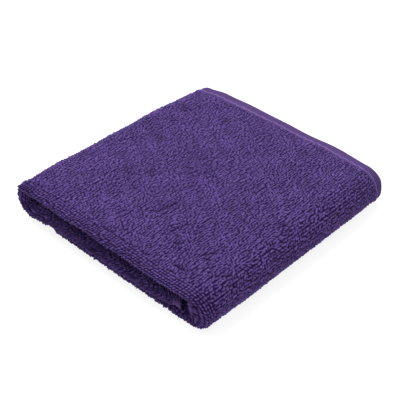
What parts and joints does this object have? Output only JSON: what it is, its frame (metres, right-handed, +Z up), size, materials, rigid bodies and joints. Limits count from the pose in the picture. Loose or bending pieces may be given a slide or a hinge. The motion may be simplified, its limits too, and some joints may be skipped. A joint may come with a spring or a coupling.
{
  "type": "quick dry towel",
  "caption": "Small terry towel with flat-woven hems, folded in half lengthwise and then in three; the folded stack opens at its tall rounded side fold.",
  "frame": {"origin": "middle of the folded stack, on the surface it lies on", "axes": "+Z up; +Y from the long folded edge towards the hemmed edges; +X towards the tall rounded fold where the stack opens"},
  "size_m": [0.1446, 0.1506, 0.0244],
  "materials": {
    "terry": "purple looped terry, loops on both faces",
    "hem_weave": "smooth flat-woven purple hem with fine ridges",
    "thread": "purple sewing thread, slight sheen"
  },
  "bodies": {
    "lower": {"bottom_panel": "terry", "bottom_side_hems": "hem_weave", "bottom_side_seams": "thread", "bottom_end_hem": "hem_weave", "bottom_end_seam": "thread", "right_fold_lower": "terry", "right_fold_lower_hems": "hem_weave", "right_fold_lower_seams": "thread"},
    "upper": {"right_fold_upper": "terry", "right_fold_upper_hems": "hem_weave", "right_fold_upper_seams": "thread", "top_panel": "terry", "top_side_hems": "hem_weave", "top_side_seams": "thread", "left_fold": "terry", "left_fold_hems": "hem_weave", "left_fold_seams": "thread", "inner_flap": "terry", "inner_side_hems": "hem_weave", "inner_side_seams": "thread", "inner_end_hem": "hem_weave", "inner_end_seam": "thread"}
  },
  "joints": [
    {"name": "fold_open", "type": "hinge", "parent": "lower", "child": "upper", "pos_m": [0.0726, 0, 0.0122], "axis": [0, 1, 0], "range_deg": [0, 180]}
  ]
}
